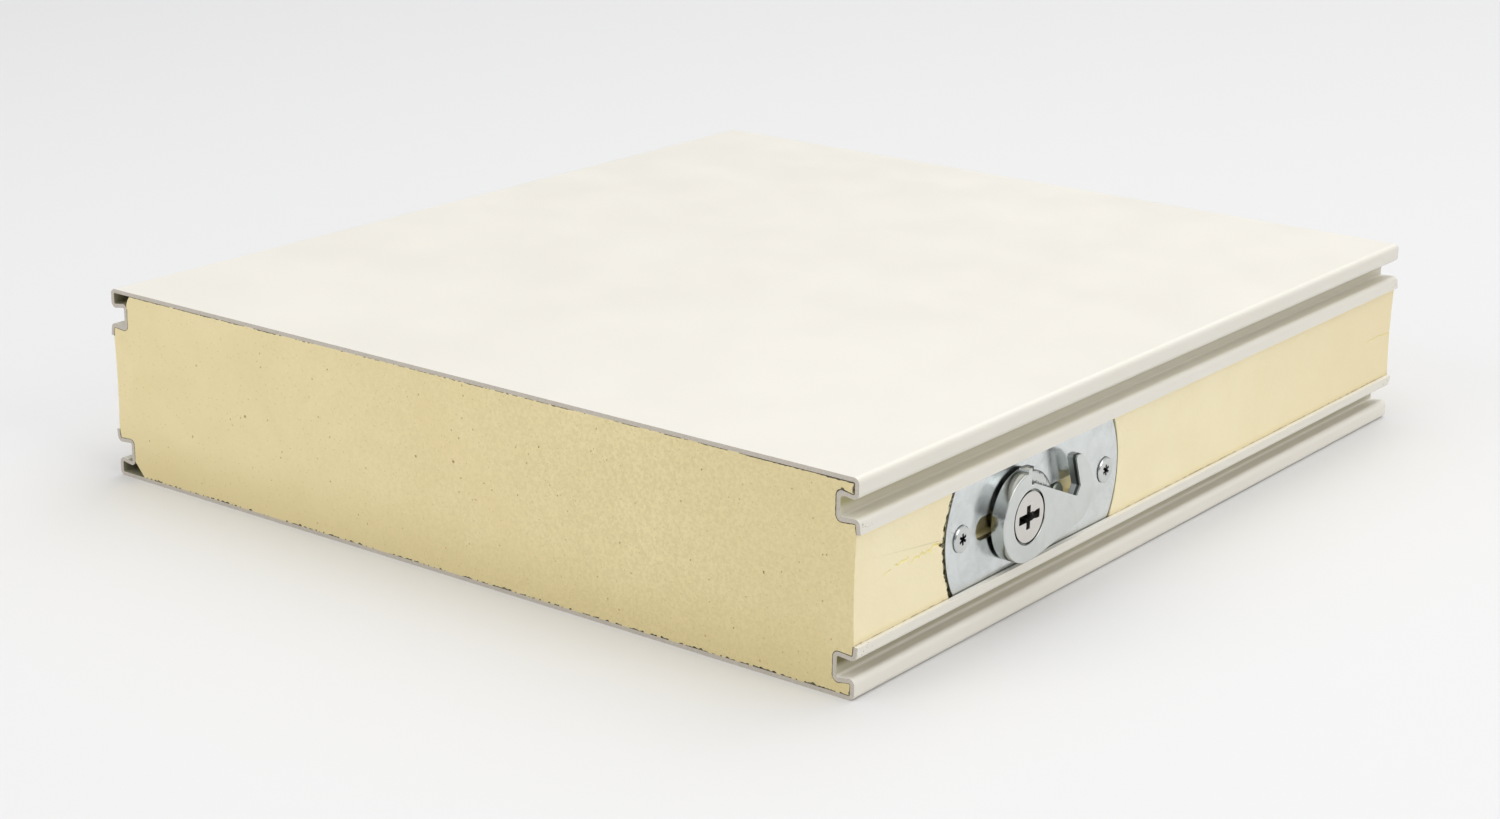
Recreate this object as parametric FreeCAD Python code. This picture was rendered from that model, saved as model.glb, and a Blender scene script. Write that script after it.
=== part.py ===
import FreeCAD, Part
import math
import os

# Sample block of an insulated cold-room sandwich panel, millimetres.
# X runs across the panel between its two joint edges, Y along the joints, Z up.
# The origin is the centre of the underside, between the two flange planes.

# ---- panel body ----
panel_width = 280.2          # between the outer faces of the two flanges
panel_length = 308.6         # between the two sawn ends
panel_thickness = 60.0       # over both skins
sheet = 1.2                  # coated steel skin
bend_inside = 0.5            # inside radius of every fold

# ---- folded joint edge, depths counted from the outer face of the skin ----
flange_depth = 6.15          # flange face
groove_roof_rise = 0.9       # the groove opens out towards its bottom
groove_reach = 5.6           # from the flange plane to the groove's bottom face
groove_floor_depth = 11.3    # at the groove's bottom
lip_shoulder_depth = 10.8    # where the lip turns down
lip_end_depth = 14.8         # free edge of the lip
lip_shoulder_out = 0.35      # the lip stands proud of the flange plane
lip_end_out = 0.8            # and flares a little to its free edge

# ---- foam core ----
foam_edge_sag = 0.4          # the foam face between the lips is slightly hollow
shoulder_reach = 8.5         # empty flange above the foam, far joint edge
shoulder_bulge = 0.7         # how far the rounded foam shoulder stands out
chamfer_reach = 10.9         # empty flange below the foam, far joint edge
void_depth = 5.8             # foot of both empty flanges, on the groove's web

# ---- lock plate, let into the near joint edge ----
lock_from_end = 85.75        # plate centre from the near sawn end
plate_length = 88.2
plate_height = 35.0
plate_end_radius = 29.5
plate_sheet = 2.0
plate_gap = 0.7              # around the plate, in the foam
recess_shift = -0.4          # the foam is cut back further at the plate's near end
slot_length = 59.4
slot_height = 6.4
pocket_depth = 2.8           # foam cut away behind the slot
pocket_gap = 0.3             # the pocket is a little larger than the slot

# ---- guide stud, standing in the slot on the pocket's floor ----
stud_from_pivot = 22.1       # along Y
stud_radius = 2.9
stud_proud = 0.3
stud_edge = 0.4              # bevel round its face

# ---- screws ----
screw_from_tip = 7.2         # screw centre from the plate's tip
screw_head_radius = 3.75
screw_head_proud = 0.6
screw_edge = 0.3             # small bevel round the head
screw_shank_radius = 2.0
screw_length = 24.0
screw_tip = 3.0
screw_head_gap = 0.3         # head in its countersink
star_length = 3.3            # six-pointed driver recess, over two points
star_width = 0.8
star_depth = 1.2
star_bars = 3

# ---- turning hook, outlines seen from the joint edge about the pivot ----
pivot_offset = -10.65        # pivot from the plate centre, along Y
hub_radius = 12.95
hub_thickness = 4.15
hub_standoff = 0.9           # hub back above the plate
hub_bevel = 0.3
boss_radius = 8.0            # bears on the plate behind the hub
boss_gap = 0.05
arm_clearance = 0.3          # arm back above the lips that it swings over
arm_top_start = 1.1
arm_top_height = 9.55
notch_foot = (24.5, -0.55)
notch_corner = (26.25, 2.0)
nose_inner = (23.35, 10.4)
nose_top_inner = (23.7, 11.4)
nose_top_outer = (26.1, 11.4)
nose_back = (31.2, 5.9)
arm_end = (33.6, 0.2)
arm_heel = (31.6, -5.2)
arm_foot = (26.3, -8.6)
lug_radius = 13.95           # stop lug, standing out of the hub's rim
lug_left = -1.6
lug_right = 2.6
tooth_right = 0.1            # the lug keeps the hub's full depth up to here
step_depth = 1.1             # shallow step in the hub face, between tooth and arm
step_foot = 9.2
step_relief = 0.7

# ---- key pin ----
pin_head_radius = 7.2
pin_head_depth = 2.2
pin_head_recess = 0.2        # pin face below the hook face
pin_ring_gap = 0.6           # round the pin head
ring_bevel = 0.25            # round the mouth of the hook's bore
pin_shank_radius = 5.0
pin_running_gap = 0.05       # radial, in the plate
pin_tail_radius = 6.2        # riveted tail behind the plate
pin_tail_depth = 1.5
pin_tail_gap = 0.05
pin_pocket_gap = 0.6         # round the tail, in the foam
pin_pocket_depth = 6.5
key_slot_length = 10.4
key_slot_width = 2.5
key_cross_length = 6.8
key_cross_width = 1.9
key_cross_offset = -0.5
key_land_radius = 1.5
key_land_place = (2.5, 2.5)
key_depth = 3.2

# ---- derived places ----
half_width = panel_width / 2
half_length = panel_length / 2
mid_height = panel_thickness / 2
plate_y = -half_length + lock_from_end
pivot_y = plate_y + pivot_offset
foam_edge_x = half_width + lip_end_out - sheet
plate_front_x = foam_edge_x - foam_edge_sag
plate_back_x = plate_front_x - plate_sheet
hub_back_x = plate_front_x + hub_standoff
hub_front_x = hub_back_x + hub_thickness
arm_back_x = half_width + lip_end_out + arm_clearance
pocket_x = plate_back_x - pocket_depth
WAY_OUT = 20.0               # cutting bodies run this far past a face

ACROSS = FreeCAD.Vector(1, 0, 0)
ALONG = FreeCAD.Vector(0, 1, 0)
UP = FreeCAD.Vector(0, 0, 1)


def section_point(x, depth):
    """A point of the upper skin's section at the near sawn end."""
    return FreeCAD.Vector(x, -half_length, panel_thickness - depth)


def edge_point(along, height, x):
    """A point on a plane across X, placed about the pivot."""
    return FreeCAD.Vector(x, pivot_y + along, mid_height + height)


def turns_right(before, corner, after):
    """True where a path in XZ turns clockwise, seen along +Y towards the far end."""
    first = corner - before
    second = after - corner
    return first.z * second.x - first.x * second.z > 0


def offset_path(corners, distance):
    """The corners of a path in XZ, moved sideways to its right by a distance."""
    sides = []
    for start, end in zip(corners, corners[1:]):
        run = (end - start).normalize()
        shift = FreeCAD.Vector(run.z, 0, -run.x) * distance
        sides.append((start + shift, run))
    moved = [sides[0][0]]
    for (p, u), (q, v) in zip(sides, sides[1:]):
        gap = q - p
        step = (gap.x * v.z - gap.z * v.x) / (u.x * v.z - u.z * v.x)
        moved.append(p + u * step)
    last_shift = FreeCAD.Vector(sides[-1][1].z, 0, -sides[-1][1].x) * distance
    moved.append(corners[-1] + last_shift)
    return moved


def rounded_edges(corners, radii):
    """Straight runs joined by tangent arcs, one radius for each inner corner."""
    edges = []
    start = corners[0]
    for before, corner, after, radius in zip(corners, corners[1:], corners[2:], radii):
        back = (before - corner).normalize()
        ahead = (after - corner).normalize()
        half_angle = back.getAngle(ahead) / 2
        cut = radius / math.tan(half_angle)
        bisector = (back + ahead).normalize()
        middle = corner + bisector * (radius / math.sin(half_angle) - radius)
        first = corner + back * cut
        second = corner + ahead * cut
        edges.append(Part.makeLine(start, first))
        edges.append(Part.Arc(first, middle, second).toShape())
        start = second
    edges.append(Part.makeLine(start, corners[-1]))
    return edges


def joint_corners():
    """Outer corners of the folded edge on the +X side, from the skin to the lip's end."""
    return [
        section_point(half_width, 0),
        section_point(half_width, flange_depth),
        section_point(half_width - groove_reach, flange_depth - groove_roof_rise),
        section_point(half_width - groove_reach, groove_floor_depth),
        section_point(half_width + lip_shoulder_out, lip_shoulder_depth),
        section_point(half_width + lip_end_out, lip_end_depth),
    ]


def lowered(point):
    """The same point on the lower side of the panel."""
    return FreeCAD.Vector(point.x, point.y, panel_thickness - point.z)


def mirrored(points):
    """The same points on the -X side, in reverse order."""
    return [FreeCAD.Vector(-p.x, p.y, p.z) for p in reversed(points)]


def skin_paths():
    """The visible and the foam side of the upper skin, each as a list of edges."""
    right = joint_corners()
    visible = mirrored(right) + right
    hidden = offset_path(visible, sheet)
    visible_radii = []
    hidden_radii = []
    for before, corner, after in zip(visible, visible[1:], visible[2:]):
        outside = bend_inside + sheet
        if turns_right(before, corner, after):
            visible_radii.append(outside)
            hidden_radii.append(bend_inside)
        else:
            visible_radii.append(bend_inside)
            hidden_radii.append(outside)
    return rounded_edges(visible, visible_radii), rounded_edges(hidden, hidden_radii)


def end_points(edges):
    """First and last point of a run of edges."""
    return edges[0].Vertexes[0].Point, edges[-1].Vertexes[-1].Point


def flipped(shape):
    """The same form on the lower side of the panel."""
    return shape.mirror(FreeCAD.Vector(0, 0, mid_height), UP)


def skin():
    """The upper skin: one folded sheet, full length."""
    visible, hidden = skin_paths()
    first, last = end_points(visible)
    hidden_first, hidden_last = end_points(hidden)
    ends = [Part.makeLine(first, hidden_first), Part.makeLine(last, hidden_last)]
    outline = Part.Wire(Part.__sortEdges__(visible + hidden + ends))
    return Part.Face(outline).extrude(ALONG * panel_length)


def hollow_edge(upper, side):
    """The slightly hollow foam face between the two lips of one joint edge."""
    middle = FreeCAD.Vector(upper.x - side * foam_edge_sag, upper.y, mid_height)
    return Part.Arc(upper, middle, lowered(upper)).toShape()


def flange_void(reach, bulge):
    """The empty space that the foam leaves in a flange of the -X edge, upper side."""
    outside = -half_width - WAY_OUT
    web_x = -half_width + groove_reach + sheet
    top = section_point(-half_width + reach, sheet)
    foot = section_point(web_x, void_depth)
    above = section_point(-half_width + reach, -WAY_OUT)
    corner_above = section_point(outside, -WAY_OUT)
    corner_below = section_point(outside, void_depth)
    if bulge > 0:
        middle = (top + foot) / 2 + FreeCAD.Vector(-1, 0, 1).normalize() * bulge
        foam_side = Part.Arc(top, middle, foot).toShape()
    else:
        foam_side = Part.makeLine(top, foot)
    edges = [
        Part.makeLine(corner_above, above),
        Part.makeLine(above, top),
        foam_side,
        Part.makeLine(foot, corner_below),
        Part.makeLine(corner_below, corner_above),
    ]
    return Part.Face(Part.Wire(edges)).extrude(ALONG * panel_length)


def plate_outline(grow, shift, x):
    """Face of the lock plate's outline, grown by a gap and shifted along the panel."""
    radius = plate_end_radius + grow
    half_height = plate_height / 2 + grow
    tip = plate_length / 2 + grow
    corner = tip - radius + math.sqrt(radius ** 2 - half_height ** 2)

    def place(along, height):
        return FreeCAD.Vector(x, plate_y + shift + along, mid_height + height)

    edges = [
        Part.makeLine(place(-corner, half_height), place(corner, half_height)),
        Part.Arc(place(corner, half_height), place(tip, 0), place(corner, -half_height)).toShape(),
        Part.makeLine(place(corner, -half_height), place(-corner, -half_height)),
        Part.Arc(place(-corner, -half_height), place(-tip, 0), place(-corner, half_height)).toShape(),
    ]
    return Part.Face(Part.Wire(edges))


def slot_outline(grow, x):
    """Face of the long slot with round ends, grown by a gap."""
    radius = slot_height / 2 + grow
    straight = slot_length / 2 - slot_height / 2
    tip = straight + radius

    def place(along, height):
        return FreeCAD.Vector(x, plate_y + along, mid_height + height)

    edges = [
        Part.makeLine(place(-straight, radius), place(straight, radius)),
        Part.Arc(place(straight, radius), place(tip, 0), place(straight, -radius)).toShape(),
        Part.makeLine(place(straight, -radius), place(-straight, -radius)),
        Part.Arc(place(-straight, -radius), place(-tip, 0), place(-straight, radius)).toShape(),
    ]
    return Part.Face(Part.Wire(edges))


def pivot_round(radius, start_x, end_x):
    """A round body about the pivot."""
    return Part.makeCylinder(radius, end_x - start_x, edge_point(0, 0, start_x), ACROSS)


def screw_places():
    """Along-panel places of the near and the far screw."""
    reach = plate_length / 2 - screw_from_tip
    return [plate_y - reach, plate_y + reach]


def screw_hole(y):
    """The room that a screw's shank and tip take in the foam."""
    base = FreeCAD.Vector(plate_back_x, y, mid_height)
    straight = screw_length - screw_tip
    shank = Part.makeCylinder(screw_shank_radius, straight, base, ACROSS * -1)
    tip = Part.makeCone(screw_shank_radius, 0, screw_tip, base - ACROSS * straight, ACROSS * -1)
    return shank.fuse(tip)


def foam_core():
    """The foam between the skins, with the lock's recess and the two empty flanges."""
    upper = skin_paths()[1]
    lower = [flipped(edge) for edge in upper]
    left, right = end_points(upper)
    sides = [hollow_edge(right, 1), hollow_edge(left, -1)]
    outline = Part.Wire(Part.__sortEdges__(upper + lower + sides))
    foam = Part.Face(outline).extrude(ALONG * panel_length)
    way_out = ACROSS * WAY_OUT
    cuts = [
        flange_void(shoulder_reach, shoulder_bulge),
        flipped(flange_void(chamfer_reach, 0)),
        plate_outline(plate_gap, recess_shift, plate_back_x).extrude(way_out),
        slot_outline(pocket_gap, pocket_x).extrude(ACROSS * pocket_depth),
        pivot_round(pin_tail_radius + pin_pocket_gap, plate_back_x - pin_pocket_depth, plate_back_x),
    ]
    for y in screw_places():
        cuts.append(screw_hole(y))
    return foam.cut(cuts)


def lock_plate():
    """The zinc-plated faceplate with its slot, pivot hole and countersunk holes."""
    plate = plate_outline(0, 0, plate_back_x).extrude(ACROSS * plate_sheet)
    cuts = [
        slot_outline(0, plate_back_x).extrude(ACROSS * plate_sheet),
        pivot_round(pin_shank_radius + pin_running_gap, plate_back_x, plate_front_x),
    ]
    for y in screw_places():
        cuts.append(screw_seat(y, screw_head_gap))
    return plate.cut(cuts)


def screw_seat(y, gap):
    """The countersunk head's cone and shank inside the plate, grown by a gap."""
    base = FreeCAD.Vector(plate_back_x, y, mid_height)
    rise = plate_sheet - (screw_head_radius - screw_shank_radius)
    throat = Part.makeCylinder(screw_shank_radius + gap, rise, base, ACROSS)
    cone_height = screw_head_radius - screw_shank_radius
    cone_base = base + ACROSS * rise
    cone = Part.makeCone(screw_shank_radius + gap, screw_head_radius + gap, cone_height, cone_base, ACROSS)
    return throat.fuse(cone)


def star_recess(y, x):
    """The star-shaped driver recess in a screw head, cut inwards from its face."""
    centre = FreeCAD.Vector(x - star_depth, y, mid_height)
    corner = centre - ALONG * (star_width / 2) - UP * (star_length / 2)
    bars = []
    for index in range(star_bars):
        bar = Part.makeBox(star_depth, star_width, star_length, corner)
        bar.rotate(centre, ACROSS, index * 180 / star_bars)
        bars.append(bar)
    return bars[0].fuse(bars[1:])


def screw(y):
    """A countersunk wood screw through the plate into the foam."""
    face = FreeCAD.Vector(plate_front_x, y, mid_height)
    rim = Part.makeCylinder(screw_head_radius, screw_head_proud - screw_edge, face, ACROSS)
    rim_top = face + ACROSS * (screw_head_proud - screw_edge)
    bevel = Part.makeCone(screw_head_radius, screw_head_radius - screw_edge, screw_edge, rim_top, ACROSS)
    body = screw_seat(y, 0).fuse([rim, bevel, screw_hole(y)]).removeSplitter()
    return body.cut(star_recess(y, plate_front_x + screw_head_proud))


def arm_top_at(along):
    """Height of the arm's straight upper edge at a place along the arm."""
    slope = (notch_foot[1] - arm_top_height) / (notch_foot[0] - arm_top_start)
    return arm_top_height + slope * (along - arm_top_start)


def hub_tangent(point):
    """Where the arm's lower edge runs onto the hub without a corner."""
    distance = math.hypot(point[0], point[1])
    direction = math.atan2(point[1], point[0])
    angle = direction - math.acos(hub_radius / distance)
    return (hub_radius * math.cos(angle), hub_radius * math.sin(angle))


def arm_outline(x):
    """Face of the arm and its upturned nose, from the pivot out."""
    def line(first, second):
        return Part.makeLine(edge_point(*first, x), edge_point(*second, x))

    def arc(first, middle, second):
        return Part.Arc(edge_point(*first, x), edge_point(*middle, x), edge_point(*second, x)).toShape()

    top_start = (arm_top_start, arm_top_height)
    tangent = hub_tangent(arm_foot)
    edges = [
        line((0, 0), top_start),
        line(top_start, notch_foot),
        line(notch_foot, notch_corner),
        line(notch_corner, nose_inner),
        line(nose_inner, nose_top_inner),
        line(nose_top_inner, nose_top_outer),
        arc(nose_top_outer, nose_back, arm_end),
        arc(arm_end, arm_heel, arm_foot),
        line(arm_foot, tangent),
        line(tangent, (0, 0)),
    ]
    return Part.Face(Part.Wire(edges))


def polygon_face(points, x):
    """A face with straight sides on a plane across X, about the pivot."""
    corners = [edge_point(along, height, x) for along, height in points]
    return Part.Face(Part.makePolygon(corners + corners[:1]))


def lug_block(right, depth):
    """A block of the stop lug, from its left side to a given place, from the back forwards."""
    far = hub_radius + WAY_OUT
    points = [(lug_left, 0), (lug_left, far), (right, far), (right, 0)]
    return polygon_face(points, arm_back_x).extrude(ACROSS * depth)


def stop_lug():
    """The lug on the hub's rim: a narrow tooth to the front, wider behind the step."""
    depth = hub_front_x - arm_back_x
    block = lug_block(tooth_right, depth).fuse(lug_block(lug_right, depth - step_depth))
    return block.common(pivot_round(lug_radius, arm_back_x, hub_front_x))


def hub_step():
    """The shallow step cut in the hub's face between the tooth and the arm."""
    far = hub_radius + WAY_OUT
    points = [
        (tooth_right, step_foot),
        (tooth_right, far),
        (far, far),
        (far, arm_top_at(far)),
        (arm_top_start, arm_top_at(arm_top_start)),
    ]
    floor_x = hub_front_x - step_depth
    step = polygon_face(points, floor_x).extrude(ACROSS * WAY_OUT)
    relief_height = (step_foot + arm_top_height) / 2
    relief_place = edge_point(tooth_right + step_relief, relief_height, floor_x)
    relief = Part.makeCylinder(step_relief, WAY_OUT, relief_place, ACROSS)
    over_the_hub = pivot_round(lug_radius, floor_x, floor_x + WAY_OUT)
    return step.fuse(relief).common(over_the_hub)


def bevelled_hub():
    """The round hub with its bevelled front rim and the boss behind it."""
    body = pivot_round(hub_radius, hub_back_x, hub_front_x - hub_bevel)
    rim_place = edge_point(0, 0, hub_front_x - hub_bevel)
    rim = Part.makeCone(hub_radius, hub_radius - hub_bevel, hub_bevel, rim_place, ACROSS)
    boss = pivot_round(boss_radius, plate_front_x + boss_gap, hub_back_x)
    return body.fuse([rim, boss])


def lock_hook():
    """The turning hook: hub, lug, arm and upturned nose, bored for the key pin."""
    arm = arm_outline(arm_back_x).extrude(ACROSS * (hub_front_x - arm_back_x))
    hook = bevelled_hub().fuse([arm, stop_lug()])
    seat_x = hub_front_x - pin_head_recess - pin_head_depth
    bore_radius = pin_head_radius + pin_ring_gap
    mouth_place = edge_point(0, 0, hub_front_x - ring_bevel)
    cuts = [
        hub_step(),
        pivot_round(pin_shank_radius, plate_front_x, hub_front_x),
        pivot_round(bore_radius, seat_x, hub_front_x + WAY_OUT),
        Part.makeCone(bore_radius, bore_radius + ring_bevel, ring_bevel, mouth_place, ACROSS),
    ]
    return hook.cut(cuts).removeSplitter()


def key_recess():
    """The two-bitted key recess in the pin's face."""
    back = hub_front_x - pin_head_recess - key_depth
    corner = edge_point(-key_slot_length / 2, -key_slot_width / 2, back)
    level = Part.makeBox(key_depth, key_slot_length, key_slot_width, corner)
    corner = edge_point(key_cross_offset - key_cross_width / 2, -key_cross_length / 2, back)
    upright = Part.makeBox(key_depth, key_cross_width, key_cross_length, corner)
    lands = []
    for side in (1, -1):
        place = edge_point(key_land_place[0], side * key_land_place[1], back)
        lands.append(Part.makeCylinder(key_land_radius, key_depth, place, ACROSS))
    return level.fuse(upright).cut(lands)


def key_pin():
    """The pin that carries the hook: slotted head, shank through the plate, riveted tail."""
    front = hub_front_x - pin_head_recess
    seat_x = front - pin_head_depth
    tail_x = plate_back_x - pin_tail_gap
    head = pivot_round(pin_head_radius, seat_x, front)
    shank = pivot_round(pin_shank_radius, tail_x - pin_tail_depth, seat_x)
    tail = pivot_round(pin_tail_radius, tail_x - pin_tail_depth, tail_x)
    return head.fuse([shank, tail]).removeSplitter().cut(key_recess())


def guide_stud():
    """The round stud that stands in the slot, just clear of its edges."""
    base = edge_point(stud_from_pivot, 0, pocket_x)
    length = plate_front_x + stud_proud - pocket_x - stud_edge
    body = Part.makeCylinder(stud_radius, length, base, ACROSS)
    rim = Part.makeCone(stud_radius, stud_radius - stud_edge, stud_edge, base + ACROSS * length, ACROSS)
    return body.fuse(rim)


def all_nodes():
    """Every physical piece of the panel, by node name."""
    near_screw_y, far_screw_y = screw_places()
    upper_skin = skin()
    return {
        "skin_top": upper_skin,
        "skin_bottom": flipped(upper_skin),
        "foam_core": foam_core(),
        "lock_plate": lock_plate(),
        "screw_near": screw(near_screw_y),
        "screw_far": screw(far_screw_y),
        "lock_hook": lock_hook(),
        "key_pin": key_pin(),
        "guide_stud": guide_stud(),
    }


os.makedirs("parts", exist_ok=True)
for name, shape in all_nodes().items():
    solid = shape.Solids[0] if len(shape.Solids) == 1 else shape
    solid.exportStep("parts/" + name + ".step")
    print(name, "solids", len(shape.Solids), "valid", shape.isValid(), "volume", round(shape.Volume))
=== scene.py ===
import math
import random

import bmesh
import bpy
from mathutils import Matrix, Vector, noise
from mathutils.bvhtree import BVHTree


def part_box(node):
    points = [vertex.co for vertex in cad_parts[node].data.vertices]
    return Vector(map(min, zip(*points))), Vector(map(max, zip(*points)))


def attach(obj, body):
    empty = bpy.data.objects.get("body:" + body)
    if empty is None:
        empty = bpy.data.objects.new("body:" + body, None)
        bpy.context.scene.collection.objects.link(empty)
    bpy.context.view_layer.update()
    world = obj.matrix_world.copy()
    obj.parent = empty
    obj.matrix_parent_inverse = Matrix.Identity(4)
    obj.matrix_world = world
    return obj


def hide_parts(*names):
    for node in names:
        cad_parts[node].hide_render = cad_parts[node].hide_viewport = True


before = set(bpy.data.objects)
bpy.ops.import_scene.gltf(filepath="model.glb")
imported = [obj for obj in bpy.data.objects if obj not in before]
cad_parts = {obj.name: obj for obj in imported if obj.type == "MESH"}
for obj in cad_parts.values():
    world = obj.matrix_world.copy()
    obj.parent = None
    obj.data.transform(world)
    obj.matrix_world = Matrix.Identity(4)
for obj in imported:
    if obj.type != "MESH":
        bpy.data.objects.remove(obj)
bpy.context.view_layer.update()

# A short block of cold-room sandwich panel with a hook lock, lying on a pale floor. Metres:
# X runs across the panel to the edge with the lock, Y along the joint edges, Z up.

MM = 0.001


def corners(node):
    """The low and the high corner of a CAD node's box."""
    return tuple(Vector(corner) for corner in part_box(node))


# ---- sizes read from the frame ----
SKIN_LOW, SKIN_HIGH = corners("skin_top")
FOAM_LOW, FOAM_HIGH = corners("foam_core")
PLATE_LOW, PLATE_HIGH = corners("lock_plate")
PIN_LOW, PIN_HIGH = corners("key_pin")
SCREWS = [corners("screw_near"), corners("screw_far")]
HALF_LENGTH = SKIN_HIGH.y
THICKNESS = SKIN_HIGH.z
FOAM_EDGE = PLATE_HIGH.x                  # deepest line of the hollow foam face, flush with the plate
PLATE_MIDDLE = (PLATE_LOW + PLATE_HIGH) / 2
PIVOT = (PIN_LOW + PIN_HIGH) / 2          # on the line that the hook turns about

# ---- sizes of the solids that their boxes don't give ----
SHEET = 1.2 * MM
GROOVE_START = 5.6 * MM                   # depth below the skin's outer face where a groove begins
GROOVE_END = 11.3 * MM                    # and where it ends
LIP_DEPTH = 14.8 * MM                     # free edge of each lip below its own skin
FOAM_SAG = 0.4 * MM                       # the foam between the lips is hollow by this
HALF_GAP = THICKNESS / 2 - LIP_DEPTH      # from the middle of the foam face to a lip
PLATE_END_RADIUS = 29.5 * MM
HUB_RADIUS = 12.95 * MM
ARM_TOP_START = 1.1 * MM                  # the arm's top edge starts here beside the pivot
ARM_TOP_HEIGHT = 9.55 * MM                # at this height over it
ARM_TOP_FALL = 0.4316                     # and falls by this for each length along the arm
TOOTH_SIDE = 0.1 * MM                     # side of the hub's tooth beside the pivot
STEP_FLOOR = PIN_HIGH.x - 0.9 * MM        # floor of the shallow step in the hub's face

WELD_REACH = 1e-6                         # vertices nearer than this are one
SLIVER = 1e-8                             # a face smaller than this has no sure direction


# ---------------------------------------------------------------- shader tools

class Shader:
    """A node material built by short calls; every place is in metres in the part's frame."""

    def __init__(self, name):
        self.material = bpy.data.materials.new(name)
        self.material.use_nodes = True
        self.tree = self.material.node_tree
        self.tree.nodes.clear()
        self.output = self.tree.nodes.new("ShaderNodeOutputMaterial")
        self.surface = self.tree.nodes.new("ShaderNodeBsdfPrincipled")
        self.join(self.surface.outputs[0], self.output.inputs[0])
        self.place = self.tree.nodes.new("ShaderNodeTexCoord").outputs["Object"]
        self.normal = None

    def join(self, source, target):
        self.tree.links.new(source, target)

    def feed(self, value, socket):
        """Sets a socket to a number, a colour or another node's output."""
        if isinstance(value, bpy.types.NodeSocket):
            self.join(value, socket)
        elif isinstance(value, tuple) and len(value) == 3 and socket.type == "RGBA":
            socket.default_value = (*value, 1)
        else:
            socket.default_value = value

    def set(self, **values):
        for name, value in values.items():
            self.feed(value, self.surface.inputs[name.replace("_", " ")])

    def stretched(self, x, y, z, turn=0):
        """Object coordinates turned about X and scaled differently along each axis."""
        turned = self.tree.nodes.new("ShaderNodeMapping")
        self.join(self.place, turned.inputs["Vector"])
        turned.inputs["Rotation"].default_value = (turn, 0, 0)
        node = self.tree.nodes.new("ShaderNodeMapping")
        self.join(turned.outputs[0], node.inputs["Vector"])
        node.inputs["Scale"].default_value = (x, y, z)
        return node.outputs[0]

    def noise(self, size, detail=3, roughness=0.5, distortion=0, place=None):
        """Noise between 0 and 1 whose features are about `size` metres."""
        node = self.tree.nodes.new("ShaderNodeTexNoise")
        self.join(place or self.place, node.inputs["Vector"])
        node.inputs["Scale"].default_value = 1 / size
        node.inputs["Detail"].default_value = detail
        node.inputs["Roughness"].default_value = roughness
        node.inputs["Distortion"].default_value = distortion
        return node.outputs[0]

    def cells(self, size):
        """Distance to the nearest cell centre, cells about `size` metres apart."""
        node = self.tree.nodes.new("ShaderNodeTexVoronoi")
        self.join(self.place, node.inputs["Vector"])
        node.inputs["Scale"].default_value = 1 / size
        return node.outputs["Distance"]

    def math(self, operation, first, second=0.0):
        node = self.tree.nodes.new("ShaderNodeMath")
        node.operation = operation
        self.feed(first, node.inputs[0])
        self.feed(second, node.inputs[1])
        return node.outputs[0]

    def product(self, first, *others):
        """Several masks or levels multiplied together."""
        for other in others:
            first = self.math("MULTIPLY", first, other)
        return first

    def between(self, value, low, high):
        """1 where a value lies between two limits, 0 elsewhere."""
        return self.product(self.math("GREATER_THAN", value, low), self.math("LESS_THAN", value, high))

    def ramp(self, value, low, high, out_low=0.0, out_high=1.0):
        """Maps low..high smoothly to out_low..out_high, clamped."""
        node = self.tree.nodes.new("ShaderNodeMapRange")
        node.interpolation_type = "SMOOTHSTEP"
        self.feed(value, node.inputs["Value"])
        node.inputs["From Min"].default_value = low
        node.inputs["From Max"].default_value = high
        node.inputs["To Min"].default_value = out_low
        node.inputs["To Max"].default_value = out_high
        return node.outputs["Result"]

    def mix(self, factor, first, second):
        """Blends two colours."""
        node = self.tree.nodes.new("ShaderNodeMix")
        node.data_type = "RGBA"
        self.feed(factor, node.inputs["Factor"])
        self.feed(first, node.inputs[6])
        self.feed(second, node.inputs[7])
        return node.outputs[2]

    def axis(self, name, source=None):
        """One coordinate of the place, or of another vector."""
        node = self.tree.nodes.new("ShaderNodeSeparateXYZ")
        self.join(source or self.place, node.inputs[0])
        return node.outputs[name]

    def distance(self, centre):
        """Distance from the line along X through a centre."""
        along = self.math("SUBTRACT", self.axis("Y"), centre.y)
        height = self.math("SUBTRACT", self.axis("Z"), centre.z)
        square = self.math("ADD", self.product(along, along), self.product(height, height))
        return self.math("SQRT", square)

    def facing(self, name):
        """How squarely a face looks along an axis, either way: 1 straight along it, 0 across it."""
        normal = self.tree.nodes.new("ShaderNodeNewGeometry").outputs["True Normal"]
        return self.math("ABSOLUTE", self.axis(name, normal))

    def from_middle(self):
        """Distance from the middle of the panel's length, towards either sawn end."""
        return self.math("ABSOLUTE", self.axis("Y"))

    def bump(self, height, depth, strength=1.0):
        """Adds relief `depth` metres deep on top of the relief so far."""
        node = self.tree.nodes.new("ShaderNodeBump")
        node.inputs["Strength"].default_value = strength
        node.inputs["Distance"].default_value = depth
        self.join(height, node.inputs["Height"])
        if self.normal is not None:
            self.join(self.normal, node.inputs["Normal"])
        self.normal = node.outputs[0]
        self.join(self.normal, self.surface.inputs["Normal"])


def darker(color, share):
    """A colour with only a share of its brightness."""
    return tuple(channel * share for channel in color)


# ---------------------------------------------------------------- materials

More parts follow.
